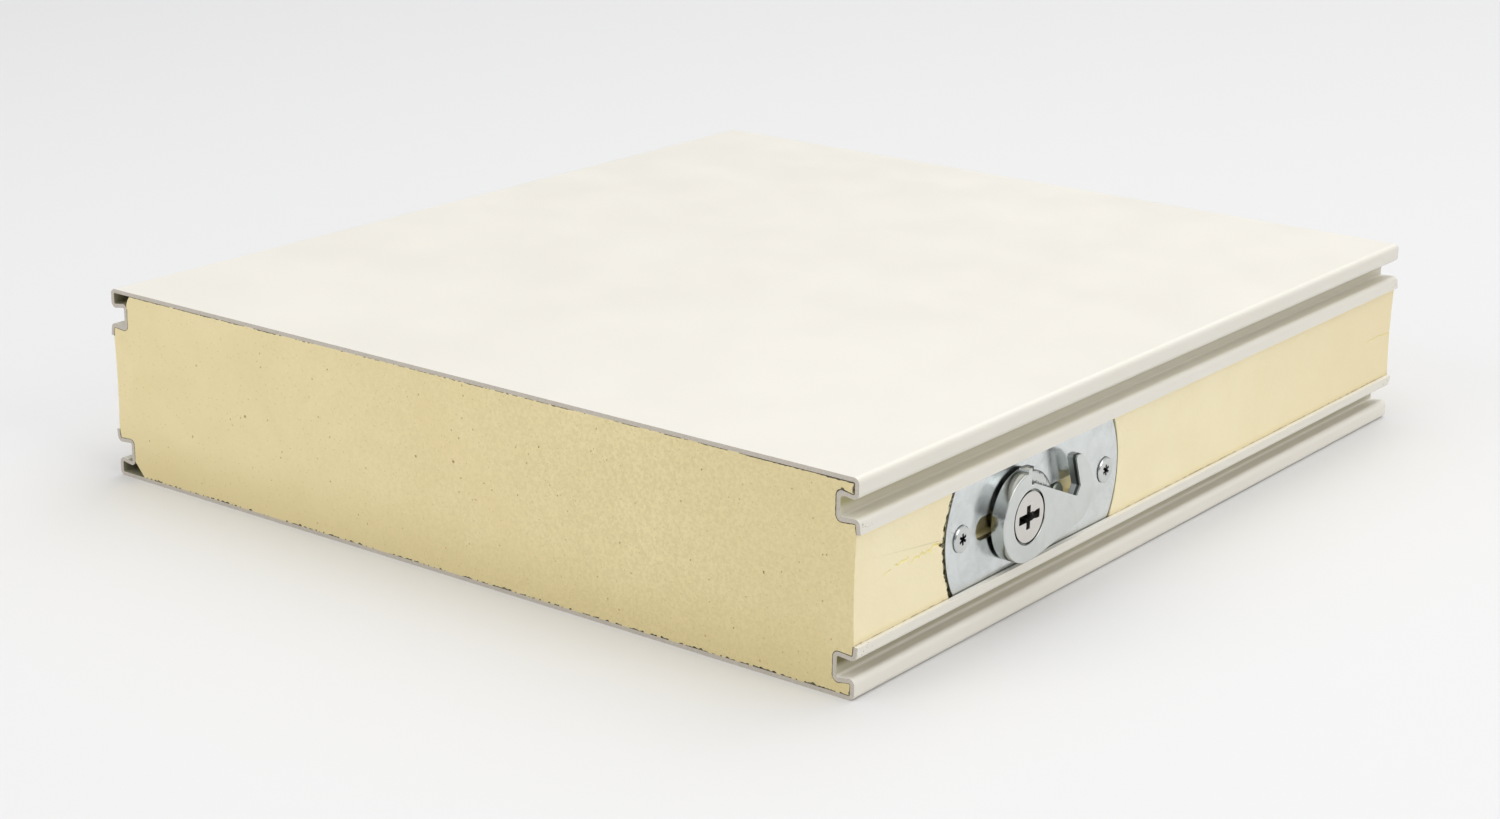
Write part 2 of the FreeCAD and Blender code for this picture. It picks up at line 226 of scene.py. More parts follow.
def painted_groove_shade(s, coat, depth):
    """Paints shade into the coat inside the grooves, most under each groove's upper side and at the near end,
    and paints the lower half lighter outside them.
    """
    lower_foot = 5.7 * MM                 # lowest height of the lower groove
    upper_foot = THICKNESS - GROOVE_END   # and of the upper one
    low_side = s.math("LESS_THAN", s.axis("Z"), THICKNESS / 2)
    joint = s.math("GREATER_THAN", s.math("ABSOLUTE", s.axis("X")), SKIN_HIGH.x - 8 * MM)
    past_start = s.ramp(depth, GROOVE_START, GROOVE_START + 1 * MM)
    before_end = s.ramp(depth, GROOVE_END + 0.3 * MM, GROOVE_END - 0.7 * MM)
    inside = s.product(past_start, before_end, joint)
    outside = s.math("SUBTRACT", 1, inside)
    # painted light: the lower half of the coat outside the grooves is painted lighter
    coat = s.mix(s.product(low_side, outside, 0.6), coat, (0.86, 0.83, 0.75))
    # painted shade: the lower groove is painted darker and yellower
    coat = s.mix(s.product(low_side, inside, 0.5), coat, (0.62, 0.58, 0.42))
    foot = s.math("SUBTRACT", upper_foot, s.product(low_side, upper_foot - lower_foot))
    up_groove = s.ramp(s.math("SUBTRACT", s.axis("Z"), foot), 1.6 * MM, 3.8 * MM, 0.30, 1)
    to_near_end = s.ramp(s.axis("Y"), -HALF_LENGTH, 0, 1, 0.6)
    # painted shade under each groove's upper side, darker in the lower groove and towards the near end
    shaded = s.mix(low_side, (0.45, 0.415, 0.20), (0.19, 0.17, 0.05))
    return s.mix(s.product(inside, up_groove, to_near_end), coat, shaded)


def coated_steel():
    """Off-white coil coating with a faint orange peel; bare grey sheet at the sawn ends."""
    s = Shader("coated_steel")
    cloudy = s.ramp(s.noise(90 * MM, 3), 0.3, 0.7)
    coat = s.mix(cloudy, (0.758, 0.730, 0.656), (0.770, 0.743, 0.672))
    depth = s.math("MINIMUM", s.axis("Z"), s.math("SUBTRACT", THICKNESS, s.axis("Z")))
    # painted shade in the grooves, painted light on the lower half outside them
    coat = painted_groove_shade(s, coat, depth)
    # the sheet's back coat inside the empty flanges, painted darker as shade
    flange_backcoat_shade = s.product(s.between(s.axis("X"), SKIN_LOW.x + 1.9 * MM, SKIN_LOW.x + 11 * MM),
                             s.between(depth, SHEET - 0.05 * MM, GROOVE_START))
    coat = s.mix(flange_backcoat_shade, coat, (0.34, 0.32, 0.22))
    specks = s.ramp(s.noise(1.1 * MM, 2, 0.4), 0.74, 0.80)
    coat = s.mix(s.product(specks, 0.25), coat, (0.55, 0.50, 0.42))
    near_end = s.ramp(s.from_middle(), HALF_LENGTH - 9 * MM, HALF_LENGTH - 2 * MM)
    on_lip = s.math("GREATER_THAN", depth, 12 * MM)
    dust = s.ramp(s.noise(0.8 * MM, 3, 0.7), 0.60, 0.66)
    coat = s.mix(s.product(near_end, on_lip, dust), coat, (0.20, 0.17, 0.12))
    streaks = s.noise(0.5 * MM, 3, 0.6, place=s.stretched(1, 0.2, 1))
    cut = s.mix(streaks, (0.42, 0.38, 0.32), (0.66, 0.61, 0.54))
    ends = s.math("GREATER_THAN", s.from_middle(), HALF_LENGTH - 0.06 * MM)
    s.set(Base_Color=s.mix(ends, coat, cut))
    gloss = s.ramp(s.noise(25 * MM, 5, 0.6), 0.3, 0.75, 0.36, 0.46)
    s.set(Roughness=s.math("MAXIMUM", gloss, s.product(ends, 0.6)))
    s.bump(s.noise(1.6 * MM, 2, 0.4), 0.004 * MM)
    s.bump(s.noise(0.25 * MM, 3, 0.5), 0.02 * MM, 0.4)
    return s.material


def sawn_foam_color(s, coarse):
    """Open-celled foam of the sawn ends: grain, warm clouds, a browner foot, pores and rust specks."""
    swirl = s.noise(30 * MM, 5, 0.55, 1.4)
    sawn = s.mix(s.ramp(swirl, 0.3, 0.7), (0.840, 0.718, 0.408), (0.870, 0.750, 0.438))
    grain = s.ramp(s.noise(0.9 * MM, 4, 0.7), 0.35, 0.65)
    sawn = s.mix(s.product(grain, coarse, 0.48), sawn, (0.62, 0.525, 0.250))
    warm = s.ramp(s.noise(45 * MM, 3, 0.5, 0.8), 0.52, 0.75, 0, 0.4)
    sawn = s.mix(warm, sawn, (0.84, 0.70, 0.385))
    near_lock = s.ramp(s.axis("X"), 60 * MM, 135 * MM, 0, 0.45)
    sawn = s.mix(near_lock, sawn, (0.73, 0.62, 0.335))
    foot = s.ramp(s.axis("Z"), 22 * MM, 2 * MM, 0, 0.5)
    sawn = s.mix(foot, sawn, (0.68, 0.565, 0.285))
    pores = s.ramp(s.cells(1.7 * MM), 0.16, 0.06, 0, 0.5)
    sawn = s.mix(pores, sawn, (0.50, 0.40, 0.18))
    rust_specks = s.ramp(s.cells(7 * MM), 0.055, 0.035, 0, 0.7)
    return s.mix(rust_specks, sawn, (0.52, 0.30, 0.12))


def moulded_foam_color(s):
    """Smooth foam of the joint edges: painted shade above the lower lip, painted shade and dirt round the
    plate's recess, painted light behind its slot.
    """
    cloudy = s.ramp(s.noise(18 * MM, 5, 0.6), 0.3, 0.75)
    skin = s.mix(cloudy, (0.930, 0.835, 0.570), (0.905, 0.805, 0.535))
    far = s.ramp(s.axis("Y"), 20 * MM, HALF_LENGTH, 0, 0.6)
    skin = s.mix(far, skin, (0.84, 0.72, 0.455))
    above_lip = s.math("SUBTRACT", s.axis("Z"), LIP_DEPTH)
    # painted shade: the foam is darker just above the lower lip
    skin = s.mix(s.ramp(above_lip, 2.2 * MM, 0.2 * MM, 0, 0.45), skin, (0.74, 0.62, 0.33))
    # a thin ragged dark line just above the lower lip's edge
    sway = s.ramp(s.noise(2.2 * MM, 4, 0.6), 0.3, 0.7, -0.15 * MM, 0.25 * MM)
    lip_edge_line = s.ramp(s.math("ADD", above_lip, sway), 0.55 * MM, 0.25 * MM, 0, 0.85)
    skin = s.mix(lip_edge_line, skin, (0.40, 0.33, 0.15))
    from_plate = s.math("ABSOLUTE", s.math("SUBTRACT", s.axis("Y"), PLATE_MIDDLE.y))
    beside = s.math("LESS_THAN", from_plate, (PLATE_HIGH.y - PLATE_LOW.y) / 2 + 4 * MM)
    # painted shade and dirt on the recess wall round the plate, darker towards the bottom
    recess_wall = s.product(s.between(s.axis("X"), FOAM_EDGE - 2.2 * MM, FOAM_EDGE - 0.06 * MM), beside)
    gap_shade_and_dirt = s.mix(s.ramp(s.axis("Z"), 14 * MM, 34 * MM), (0.26, 0.25, 0.13), (0.60, 0.57, 0.35))
    skin = s.mix(recess_wall, skin, gap_shade_and_dirt)
    # painted light: the foam in the pocket behind the plate's slot is painted lighter
    lit_pocket = s.product(s.between(s.axis("X"), 120 * MM, FOAM_EDGE - 2.3 * MM), beside)
    return s.mix(lit_pocket, skin, (0.80, 0.72, 0.45))


def foam():
    """Rigid polyurethane foam: sawn and open-celled at the ends, a smooth skin along the edges."""
    s = Shader("foam")
    coarse = s.ramp(s.axis("X"), -110 * MM, 100 * MM, 0.15, 1.0)
    cut = s.math("GREATER_THAN", s.facing("Y"), 0.7)
    at_end = s.math("GREATER_THAN", s.from_middle(), HALF_LENGTH - 3 * MM)
    color = s.mix(s.product(cut, at_end), moulded_foam_color(s), sawn_foam_color(s, coarse))
    s.set(Base_Color=color, Roughness=0.88)
    s.bump(s.product(s.noise(0.8 * MM, 3, 0.6), coarse), 0.22 * MM, 0.7)
    s.bump(s.noise(2.8 * MM, 4, 0.65), 0.10 * MM, 0.5)
    return s.material


def broken_foam(name, spots, dark, light, cellular=False, strength=0.5):
    """Foam inside a pit, a split or a tear: spots between two colours, with rough or cellular relief."""
    s = Shader(name)
    s.set(Base_Color=s.mix(s.noise(spots), dark, light), Roughness=0.95)
    relief = s.cells(0.3 * MM) if cellular else s.noise(0.3 * MM)
    s.bump(relief, 0.1 * MM, strength)
    return s.material


def glue():
    """Dark ragged glue and sawdust between the sheet and the foam at a sawn end."""
    s = Shader("glue")
    spots = s.ramp(s.noise(0.7 * MM, 3), 0.35, 0.65)
    s.set(Base_Color=s.mix(spots, (0.035, 0.032, 0.024), (0.15, 0.135, 0.09)), Roughness=0.8)
    s.bump(s.noise(0.3 * MM, 3), 0.1 * MM, 0.6)
    return s.material


def step_crease_shade(s):
    """Painted shade with a ragged, scratchy edge in the corners round the shallow step in the hub's face."""
    along = s.math("SUBTRACT", s.axis("Y"), PIVOT.y)
    height = s.math("SUBTRACT", s.axis("Z"), PIVOT.z)
    fall = s.product(s.math("SUBTRACT", along, ARM_TOP_START), ARM_TOP_FALL)
    above_arm = s.math("SUBTRACT", s.math("ADD", height, fall), ARM_TOP_HEIGHT)
    off_tooth = s.math("SUBTRACT", along, TOOTH_SIDE)
    inside_rim = s.math("SUBTRACT", HUB_RADIUS, s.distance(PIVOT))
    nearest = s.math("MINIMUM", s.math("MINIMUM", s.product(above_arm, 0.9), off_tooth), inside_rim)
    ragged_reach = s.math("ADD", nearest, s.ramp(s.noise(0.9 * MM, 4, 0.7), 0.3, 0.7, -0.5 * MM, 0.25 * MM))
    crease_shade = s.ramp(ragged_reach, 0.75 * MM, 0.05 * MM, 0.06, 1)
    in_step = s.between(s.axis("X"), STEP_FLOOR - 0.3 * MM, STEP_FLOOR + 0.6 * MM)
    past_arm = s.math("GREATER_THAN", above_arm, -0.3 * MM)
    past_tooth = s.math("GREATER_THAN", off_tooth, -0.3 * MM)
    return s.product(crease_shade, in_step, past_arm, past_tooth)


def zinc(name, color, roughness, mottling=0.10, recess_shades=(), wall=1.0, step=None):
    """Zinc-plated steel: fine scratches, a mottled film, rougher walls painted darker as shade, painted shade
    in driver recesses.

    A recess shade is (centre, radius, where along X the painted shade starts, over what depth)."""
    s = Shader(name)
    mottle = s.ramp(s.noise(7 * MM, 6, 0.65, 0.8), 0.35, 0.7)
    base = s.mix(mottle, color, darker(color, 1 - mottling))
    for turn in (0.5, 1.4, 2.5):
        line = s.noise(0.5 * MM, 2, 0.4, place=s.stretched(1, 0.09, 1, turn))
        base = s.mix(s.ramp(line, 0.72, 0.77, 0, 4 * mottling), base, darker(color, 0.55))
    stains = s.ramp(s.noise(1.3 * MM, 4, 0.7), 0.67, 0.74, 0, 3 * mottling)
    base = s.mix(stains, base, darker(color, 0.6))
    # painted shade: faces turned across X are painted darker, to the share wall on the arm and half as much
    # near the hub
    sideways = s.ramp(s.facing("X"), 0.35, 0.15)
    on_arm = s.ramp(s.axis("Y"), PIVOT.y + 11 * MM, PIVOT.y + 13 * MM)
    shaded_walls = s.mix(on_arm, darker(color, (1 + wall) / 2), darker(color, wall))
    base = s.mix(sideways, base, shaded_walls)
    if step is not None:
        # painted shade round the edges of the hub's step
        base = s.mix(step(s), base, darker(color, 0.16))
    # painted shade: near black inside the driver recesses past a depth
    for centre, radius, dark_x, fade in recess_shades:
        deep = s.ramp(s.axis("X"), dark_x, dark_x - fade)
        within = s.ramp(s.distance(centre), radius * 1.03, radius)
        base = s.mix(s.product(deep, within), base, (0.05, 0.047, 0.042))
    film = s.ramp(s.noise(4 * MM, 5, 0.65), 0.3, 0.7, roughness - 0.04, roughness + 0.06)
    rough_wall = s.product(sideways, on_arm, 0.25)
    s.set(Base_Color=base, Metallic=1.0, Roughness=s.math("ADD", film, rough_wall))
    scratch = s.noise(0.12 * MM, 3, 0.6, place=s.stretched(1, 0.06, 1))
    s.bump(scratch, 0.003 * MM, 0.5)
    s.bump(s.noise(1.1 * MM, 4, 0.6), 0.06 * mottling * MM, 0.5)
    return s.material


# ---------------------------------------------------------------- meshes

def dress(nodes, material):
    """Gives CAD nodes a material in every slot."""
    for name in nodes:
        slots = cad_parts[name].data.materials
        for index in range(len(slots)):
            slots[index] = material
        if len(slots) == 0:
            slots.append(material)


def mesh_copy(name):
    """A copy of a CAD node's mesh, in the part's frame."""
    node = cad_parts[name]
    mesh = node.data.copy()
    mesh.transform(node.matrix_world)
    return mesh


def weld(mesh):
    """Joins the vertices that lie in one place, so that the mesh is closed."""
    joined = bmesh.new()
    joined.from_mesh(mesh)
    bmesh.ops.remove_doubles(joined, verts=joined.verts, dist=WELD_REACH)
    joined.to_mesh(mesh)
    joined.free()


def new_mesh(name, made):
    """Turns finished bmesh work into a mesh with its faces outwards."""
    bmesh.ops.recalc_face_normals(made, faces=made.faces)
    mesh = bpy.data.meshes.new(name)
    made.to_mesh(mesh)
    made.free()
    return mesh


def new_piece(name, mesh, materials):
    """A mesh piece in the scene with its own materials."""
    piece = bpy.data.objects.new(name, mesh)
    for material in materials:
        mesh.materials.append(material)
    bpy.context.scene.collection.objects.link(piece)
    return piece


# ---------------------------------------------------------------- foam relief

HOLLOW, SPLIT, TORN = 1, 2, 3             # material slots of the carved foam, after the foam itself
CLEAR = 0.1                               # a split's cutter starts this far off the face, mm
PIT_MARGIN = 3 * MM                       # pits stay this far inside the skins
PIT_SIDE_MARGIN = 9 * MM                  # and this far inside the joint edges
PIT_SIZES = ((6, 0.35, 0.6), (130, 0.13, 0.27))       # how many, and their radius in mm, from and to


def blob(mesh, place, radii, turn, rng):
    """Adds a closed, slightly lumpy ball and returns its faces."""
    made = bmesh.ops.create_icosphere(mesh, subdivisions=2, radius=1.0)
    spin = Matrix.Rotation(turn, 3, "X") @ Matrix.Rotation(turn * 1.7, 3, "Z")
    for vertex in made["verts"]:
        lump = 1 + 0.22 * noise.noise(vertex.co * 1.7 + Vector((rng.random(), turn, 0)) * 9)
        local = Vector(a * b for a, b in zip(vertex.co, radii)) * lump
        vertex.co = spin @ local + place
    return {face for vertex in made["verts"] for face in vertex.link_faces}


def scattered(rng, count, low, high, gap, taken):
    """Random places in a rectangle that stay clear of each other and of the places taken before."""
    places = []
    while len(places) < count:
        place = (rng.uniform(low[0], high[0]), rng.uniform(low[1], high[1]))
        clear = all(math.dist(place, other) > gap + size for other, size in taken)
        if clear:
            taken.append((place, gap))
            places.append(place)
    return places


def sawn_pits(mesh, end, rng):
    """Burst bubbles on a sawn end: many small ones and a few larger ones."""
    taken = []
    low = (FOAM_LOW.x + PIT_SIDE_MARGIN, PIT_MARGIN)
    high = (FOAM_HIGH.x - PIT_SIDE_MARGIN, THICKNESS - PIT_MARGIN)
    for count, small, large in PIT_SIZES:
        for x, z in scattered(rng, count, low, high, large * 1.6 * MM, taken):
            size = rng.uniform(small, large) * MM
            radii = (size, size * rng.uniform(0.5, 0.9), size * rng.uniform(0.7, 1.5))
            blob(mesh, Vector((x, end * (HALF_LENGTH - 0.05 * MM), z)), radii, rng.uniform(0, 3), rng)


def foam_face_x(z):
    """Where the hollow foam face between the lips lies at a height."""
    return FOAM_EDGE + FOAM_SAG * min(1, abs(z - THICKNESS / 2) / HALF_GAP) ** 2


def crack(mesh, points, widths, depth, kind):
    """A thin ragged V-shaped split in the foam face, along a line of places in millimetres."""
    rows = []
    for index, (y, z) in enumerate(points):
        before = Vector(points[max(index - 1, 0)])
        after = Vector(points[min(index + 1, len(points) - 1)])
        run = (after - before).normalized()
        side = Vector((-run.y, run.x)) * widths[index] / 2 * (depth + CLEAR) / depth
        face = foam_face_x(z * MM) / MM
        section = ((face + CLEAR, y + side.x, z + side.y),
                   (face + CLEAR, y - side.x, z - side.y),
                   (face - depth, y, z))
        rows.append([mesh.verts.new(Vector(corner) * MM) for corner in section])
    faces = [mesh.faces.new(reversed(rows[0])), mesh.faces.new(rows[-1])]
    for row, following in zip(rows, rows[1:]):
        for k in range(3):
            faces.append(mesh.faces.new((row[k], row[(k + 1) % 3], following[(k + 1) % 3], following[k])))
    for face in faces:
        face.material_index = kind


def jagged(rng, start, end, steps, sway, width_start, width_end):
    """A wandering line between two places, with widths that change along it."""
    points, widths = [], []
    for step in range(steps + 1):
        t = step / steps
        points.append((start[0] + (end[0] - start[0]) * t,
                       start[1] + (end[1] - start[1]) * t + rng.uniform(-sway, sway)))
        widths.append((width_start + (width_end - width_start) * t) * rng.uniform(0.5, 1.5))
    return points, widths


def edge_cracks(mesh, rng):
    """The broken split that runs into the plate's recess, its torn mouth, and a short split far back.

    Places are (along Y, height) in millimetres; each jagged line has its steps, sway and two widths."""
    recess = PLATE_LOW.y / MM - 0.9
    far_end = HALF_LENGTH / MM
    crack(mesh, *jagged(rng, (recess - 28, 30.2), (recess - 24.5, 30.9), 4, 0.3, 0.2, 0.4), 0.22, SPLIT)
    crack(mesh, *jagged(rng, (recess - 23, 31.4), (recess - 16.5, 31.9), 7, 0.4, 0.3, 0.8), 0.3, SPLIT)
    crack(mesh, *jagged(rng, (recess - 15.3, 31.0), (recess - 1.5, 31.5), 11, 0.8, 0.45, 1.1), 0.35, SPLIT)
    mouth = [(recess - 2.4, 31.2), (recess - 1.0, 30.8), (recess + 0.5, 30.4)]
    crack(mesh, mouth, [0.3, 1.2, 2.2], 1.5, TORN)
    crack(mesh, *jagged(rng, (far_end - 17, 30.0), (far_end + 1, 29.9), 7, 0.4, 0.15, 0.4), 0.3, SPLIT)


def recess_nibbles(mesh, rng):
    """Torn foam along the recess at the plate's near end, worst at its bottom corner."""
    centre_y = PLATE_LOW.y + PLATE_END_RADIUS
    reach = PLATE_END_RADIUS + 1.15 * MM
    half_count = 30
    corner_count = 6                      # the lowest ones are larger
    spacing = 0.0185                      # radians from one to the next
    for step in range(-half_count, half_count + 1):
        angle = step * spacing + rng.uniform(-0.006, 0.006)
        z = THICKNESS / 2 + reach * math.sin(angle)
        y = centre_y - reach * math.cos(angle)
        size = rng.uniform(0.32, 0.72) * MM
        if step < corner_count - half_count:
            size *= 1.9
        place = Vector((foam_face_x(z) - 0.1 * MM, y, z))
        for face in blob(mesh, place, (size * 1.6, size, size * 1.1), rng.uniform(0, 3), rng):
            # the nibbles take the torn foam's painted shade and dirt
            face.material_index = TORN


def even_normals(mesh):
    """Gives the gently hollow edge faces their own smooth normals and leaves the rest flat."""
    mesh.shade_smooth()
    normals = []
    for face in mesh.polygons:
        along_edge = abs(face.normal.x) > 0.9 or face.area < SLIVER
        for index in face.vertices:
            place = mesh.vertices[index].co
            on_edge = abs(abs(place.x) - foam_face_x(place.z)) < 0.05 * MM
            if on_edge and along_edge and face.material_index == 0:
                slope = 2 * FOAM_SAG * (place.z - THICKNESS / 2) / HALF_GAP ** 2
                normals.append(Vector((math.copysign(1, place.x), 0, -slope)).normalized())
            elif abs(face.center.y) > HALF_LENGTH - 0.01 * MM:
                normals.append(Vector((0, math.copysign(1, face.center.y), 0)))
            else:
                normals.append(face.normal.copy())
    mesh.normals_split_custom_set(normals)


def foam_cuts():
    """Everything that is carved out of the foam, as one mesh of closed shapes."""
    rng = random.Random(11)
    cuts = bmesh.new()
    sawn_pits(cuts, -1, rng)
    sawn_pits(cuts, 1, rng)
    for face in cuts.faces:
        face.material_index = HOLLOW
    edge_cracks(cuts, rng)
    recess_nibbles(cuts, rng)
    return new_mesh("cuts", cuts)


def carved_foam(materials):
    """The foam core with its burst bubbles, splits and torn recess."""
    body = mesh_copy("foam_core")
    body.materials.clear()
    weld(body)
    whole = new_piece("foam_relief", body, materials)
    cutter = new_piece("cuts", foam_cuts(), materials)
    carve = whole.modifiers.new("carve", "BOOLEAN")
    carve.operation = "DIFFERENCE"
    carve.solver = "MANIFOLD"
    carve.object = cutter
    carved = bpy.data.meshes.new_from_object(whole.evaluated_get(bpy.context.evaluated_depsgraph_get()))
    whole.modifiers.clear()
    whole.data = carved
    even_normals(carved)
    carved.name = "foam_relief"
    bpy.data.objects.remove(cutter)
    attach(whole, "panel")
    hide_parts("foam_core")


# ---------------------------------------------------------------- glue line

GLUE_STEP = 0.45 * MM                     # spacing of the places along the foam's outline
GLUE_LEAST = 0.06 * MM                    # narrower glue doesn't show
GLUE_TOUCH = 0.08 * MM                    # glue lies only where the sheet is this near
GLUE_BAND = 2.5 * MM                      # height of the bands along the two skins
END_REACH = 1e-5                          # a vertex this near a sawn end lies on it


def end_loop(body, end):
    """The foam's outline on a sawn end, as a closed run of places."""
    def at_end(indices):
        return all(abs(body.vertices[index].co.y - end * HALF_LENGTH) < END_REACH for index in indices)

    edges = {edge.key: 0 for edge in body.edges if at_end(edge.vertices)}
    for face in body.polygons:
        if at_end(face.vertices):
            for key in face.edge_keys:
                edges[key] += 1
    links = {}
    for (first, second), uses in edges.items():
        if uses == 1:
            links.setdefault(first, []).append(second)
            links.setdefault(second, []).append(first)
    start = min(links)
    loop, before, here = [start], None, start
    while True:
        onward = [index for index in links[here] if index != before]
        before, here = here, onward[0]
        if here == start:
            return [body.vertices[index].co.copy() for index in loop]
        loop.append(here)


def resampled(loop, step):
    """Places at an even spacing along a closed run."""
    places = []
    for start, end in zip(loop, loop[1:] + loop[:1]):
        count = max(1, round((end - start).length / step))
        places.extend(start.lerp(end, k / count) for k in range(count))
    return places


def glue_width(place):
    """How wide the glue shows at a place: ragged below, fine above and in the grooves."""
    near_lock = max(0, place.x / FOAM_HIGH.x) ** 2
    rough = noise.noise(place * 900)
    slow = noise.noise(place * 140)
    if place.z < GLUE_BAND:
        width = 0.10 + 0.22 * near_lock + 0.85 * rough + 0.3 * slow
    elif place.z > THICKNESS - GLUE_BAND:
        width = 0.11 + 0.22 * near_lock ** 2 + 0.24 * rough + 0.22 * slow
    else:
        in_corner = place.x > FOAM_HIGH.x - 5 * MM and place.z > THICKNESS - 4.2 * MM
        width = 0.20 + 0.45 * in_corner + 0.12 * rough + 0.15 * slow
    return max(0, width) * MM


def glue_rows(places, skins):
    """For each place along the outline: the place, the direction into the foam, the glue's width."""
    area = sum(a.x * b.z - b.x * a.z for a, b in zip(places, places[1:] + places[:1]))
    turn = 1 if area > 0 else -1
    rows = []
    for index, place in enumerate(places):
        run = (places[(index + 1) % len(places)] - places[index - 1]).normalized()
        inward = Vector((-run.z, 0, run.x)) * turn
        touching = min(tree.find_nearest(place)[3] for tree in skins) < GLUE_TOUCH
        rows.append((place, inward, glue_width(place) if touching else 0))
    return rows


def dashes(rows):
    """The unbroken stretches of glue that are two places long or more."""
    dash = []
    for row in rows:
        if row[2] > GLUE_LEAST:
            dash.append(row)
            continue
        if len(dash) > 1:
            yield dash
        dash = []
    if len(dash) > 1:
        yield dash


def lay_bead(beads, dash, end):
    """One closed dash of glue, sunk into the foam and a hair proud of the sawn face."""
    proud = Vector((0, end * 0.03 * MM, 0))
    sunk = Vector((0, end * -0.2 * MM, 0))
    rings = []
    for place, inward, width in dash:
        edge = place + inward * 0.02 * MM
        far_side = edge + inward * width
        section = (edge + proud, far_side + proud, far_side + sunk, edge + sunk)
        rings.append([beads.verts.new(corner) for corner in section])
    for ring, following in zip(rings, rings[1:]):
        for k in range(4):
            beads.faces.new((ring[k], ring[(k + 1) % 4], following[(k + 1) % 4], following[k]))
    beads.faces.new(reversed(rings[0]))
    beads.faces.new(rings[-1])


def glue_lines(material):
    """Ragged dark glue between sheet and foam on both sawn ends, as thin raised beads."""
    body = mesh_copy("foam_core")
    weld(body)
    skins = []
    for sheet in (mesh_copy("skin_top"), mesh_copy("skin_bottom")):
        skins.append(BVHTree.FromPolygons([vertex.co for vertex in sheet.vertices],
                                          [tuple(face.vertices) for face in sheet.polygons]))
    beads = bmesh.new()
    for end in (-1, 1):
        rows = glue_rows(resampled(end_loop(body, end), GLUE_STEP), skins)
        for dash in dashes(rows + rows[:1]):
            lay_bead(beads, dash, end)
    piece = new_piece("glue_line", new_mesh("glue_line", beads), [material])
    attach(piece, "panel")


# ---------------------------------------------------------------- metal edges

def soften(name, width):
    """Breaks the sharp edges of a metal piece so that they catch the light."""
    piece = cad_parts[name]
    joined = piece.modifiers.new("joined", "WELD")
    joined.merge_threshold = WELD_REACH
    flat = piece.modifiers.new("flat", "DECIMATE")
    flat.decimate_type = "DISSOLVE"
    flat.angle_limit = math.radians(0.5)
    bevel = piece.modifiers.new("bevel", "BEVEL")
    bevel.width = width
    bevel.segments = 2
    bevel.limit_method = "ANGLE"
    bevel.angle_limit = math.radians(50)
    even = piece.modifiers.new("even", "WEIGHTED_NORMAL")
    even.weight = 100


# ---------------------------------------------------------------- dressing the part

def screw_recess_shade(low, high):
    """The painted shade in one screw's driver recess, as zinc() takes it."""
    return ((low + high) / 2, 1.85 * MM, high.x - 0.15 * MM, 0.6 * MM)


key_recess_shade = (PIVOT, 5.4 * MM, PIN_HIGH.x - 0.8 * MM, 2.4 * MM)
screw_recess_shades = [screw_recess_shade(low, high) for low, high in SCREWS]
foam_material = foam()
# painted shade: the foam inside the pits is painted darker than the sawn face
pit_shade_material = broken_foam("foam_hollow", 0.6 * MM, (0.56, 0.46, 0.23), (0.72, 0.61, 0.34), cellular=True)
split_material = broken_foam("foam_split", 1.5 * MM, (0.84, 0.74, 0.30), (0.96, 0.88, 0.52))
# painted shade and dirt: the torn foam in the recess gap and the split's mouth is dark olive
torn_shade_and_dirt_material = broken_foam("torn_foam", 0.7 * MM, (0.17, 0.16, 0.08), (0.52, 0.48, 0.26), strength=0.6)

dress(["skin_top", "skin_bottom"], coated_steel())
dress(["lock_plate"], zinc("zinc_plate", (0.735, 0.77, 0.77), roughness=0.20, mottling=0.14, wall=0.7))
dress(["screw_near", "screw_far"],
      zinc("zinc_screw", (0.64, 0.66, 0.65), roughness=0.22, mottling=0.08, recess_shades=screw_recess_shades, wall=0.6))
dress(["lock_hook"],
      zinc("polished_zinc", (0.655, 0.68, 0.665), roughness=0.15, mottling=0.07, wall=0.85, step=step_crease_shade))
dress(["key_pin"], zinc("pin_steel", (0.68, 0.66, 0.63), roughness=0.20, mottling=0.05, recess_shades=[key_recess_shade]))
# painted shade: the guide stud is given a dark grey-green colour, with a duller finish
dress(["guide_stud"], zinc("dull_shaded_stud", (0.26, 0.29, 0.25), roughness=0.42))
carved_foam([foam_material, pit_shade_material, split_material, torn_shade_and_dirt_material])
glue_lines(glue())
soften("lock_hook", 0.28 * MM)
soften("lock_plate", 0.25 * MM)
soften("key_pin", 0.12 * MM)


# ---------------------------------------------------------------- floor, light, camera

def floor():
    """A plain pale floor that reaches past everything the camera sees."""
    mesh = bpy.data.meshes.new("floor")
    reach = 6.0
    outline = [(-reach, -reach, 0), (reach, -reach, 0), (reach, reach, 0), (-reach, reach, 0)]
    mesh.from_pydata(outline, [], [(0, 1, 2, 3)])
    s = Shader("floor_paint")
    s.set(Base_Color=(0.71, 0.71, 0.71), Roughness=0.8)
    new_piece("floor", mesh, [s.material])


def softbox(name, place, target, size, power, color=(1, 1, 1)):
    """A square area light aimed at a point."""
    light = bpy.data.lights.new(name, "AREA")
    light.shape = "SQUARE"
    light.size = size
    light.energy = power
    light.color = color
    lamp = bpy.data.objects.new(name, light)
    lamp.location = place
    lamp.rotation_euler = (Vector(target) - Vector(place)).to_track_quat("-Z", "Y").to_euler()
    bpy.context.scene.collection.objects.link(lamp)


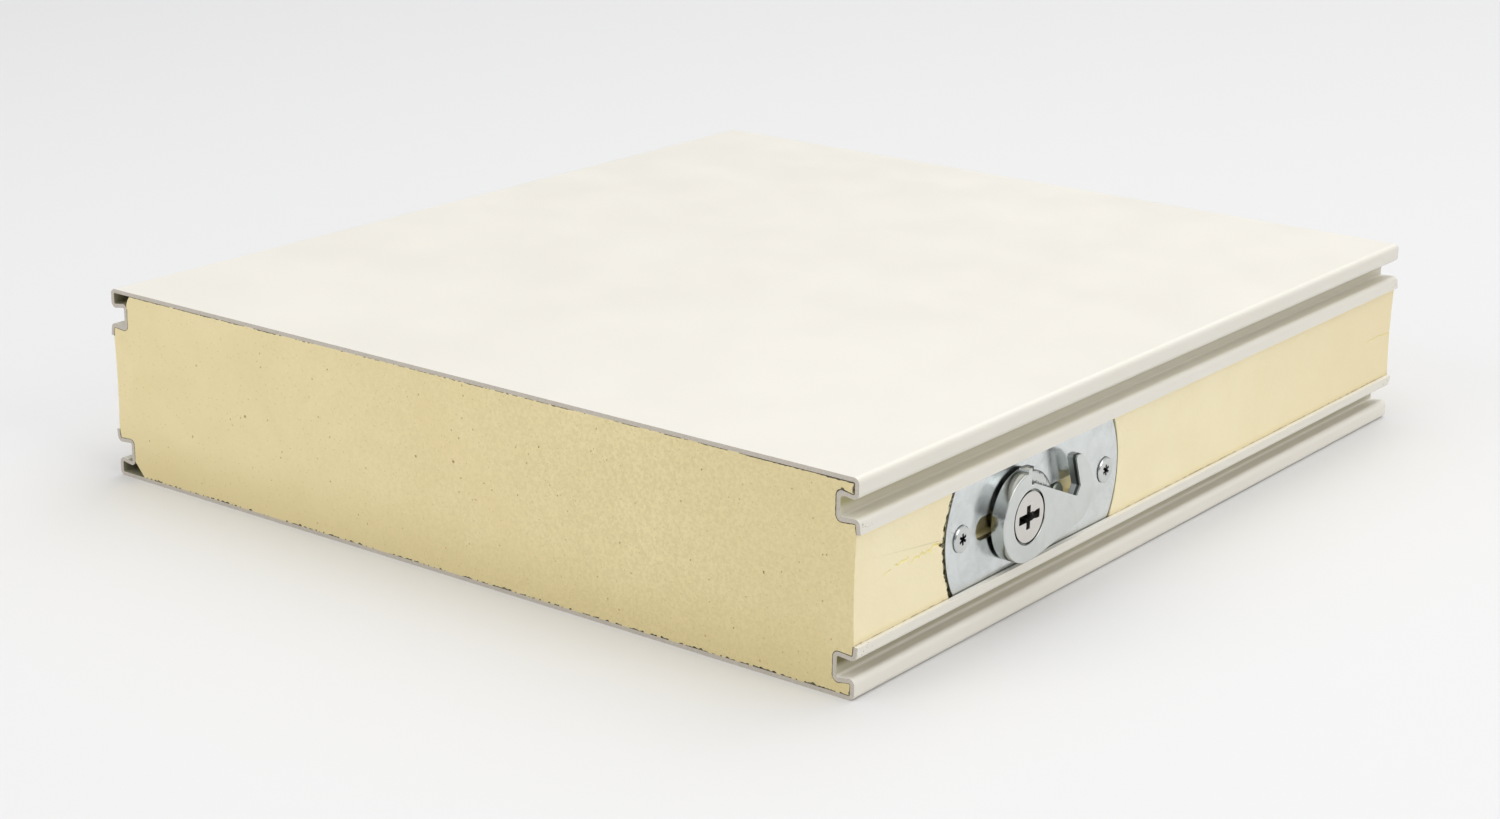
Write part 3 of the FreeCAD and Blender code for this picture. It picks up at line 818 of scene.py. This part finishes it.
def sky():
    """A white surround, brighter overhead than at the horizon."""
    world = bpy.data.worlds.new("surround")
    bpy.context.scene.world = world
    world.use_nodes = True
    tree = world.node_tree
    place = tree.nodes.new("ShaderNodeTexCoord")
    split = tree.nodes.new("ShaderNodeSeparateXYZ")
    level = tree.nodes.new("ShaderNodeMapRange")
    tree.links.new(place.outputs["Generated"], split.inputs[0])
    tree.links.new(split.outputs["Z"], level.inputs["Value"])
    level.inputs["From Min"].default_value = 0.15
    level.inputs["From Max"].default_value = 0.85
    level.inputs["To Min"].default_value = 0.25
    level.inputs["To Max"].default_value = 0.97
    background = tree.nodes["Background"]
    background.inputs["Color"].default_value = (0.985, 0.988, 1.0, 1)
    tree.links.new(level.outputs["Result"], background.inputs["Strength"])


def camera():
    """The view from the near lock corner: its place, its turn about the three axes and its lens."""
    azimuth = math.radians(37.259)
    elevation = math.radians(17.615)
    roll = math.radians(0.750)
    place = Vector((518.02, -696.27, 287.29)) * MM
    back = Vector((math.sin(azimuth) * math.cos(elevation),
                   -math.cos(azimuth) * math.cos(elevation),
                   math.sin(elevation)))
    level = Vector((math.cos(azimuth), math.sin(azimuth), 0))
    upright = back.cross(level)
    right = level * math.cos(roll) + upright * math.sin(roll)
    up = upright * math.cos(roll) - level * math.sin(roll)
    lens = bpy.data.cameras.new("camera")
    lens.sensor_width = 36.0
    lens.lens = 67.56
    lens.clip_start = 0.01
    lens.clip_end = 50
    eye = bpy.data.objects.new("camera", lens)
    turn = Matrix((right, up, back)).transposed().to_4x4()
    eye.matrix_world = Matrix.Translation(place) @ turn
    bpy.context.scene.collection.objects.link(eye)
    bpy.context.scene.camera = eye


floor()
sky()
softbox("overhead", (0.2, 0.1, 1.6), (0, 0, 0), size=1.6, power=9.4, color=(0.985, 0.988, 1.0))
softbox("right_fill", (1.7, -0.1, 0.95), (0, 0, 0.03), size=1.0, power=7, color=(1.0, 0.965, 0.91))
softbox("front_fill", (-0.5, -1.7, 0.9), (0, 0, 0.03), size=1.2, power=7.3)
softbox("back_wash", (-0.3, 2.2, 1.9), (-0.4, 1.8, 0), size=2.0, power=14)
camera()
bpy.context.scene.view_settings.view_transform = "Standard"
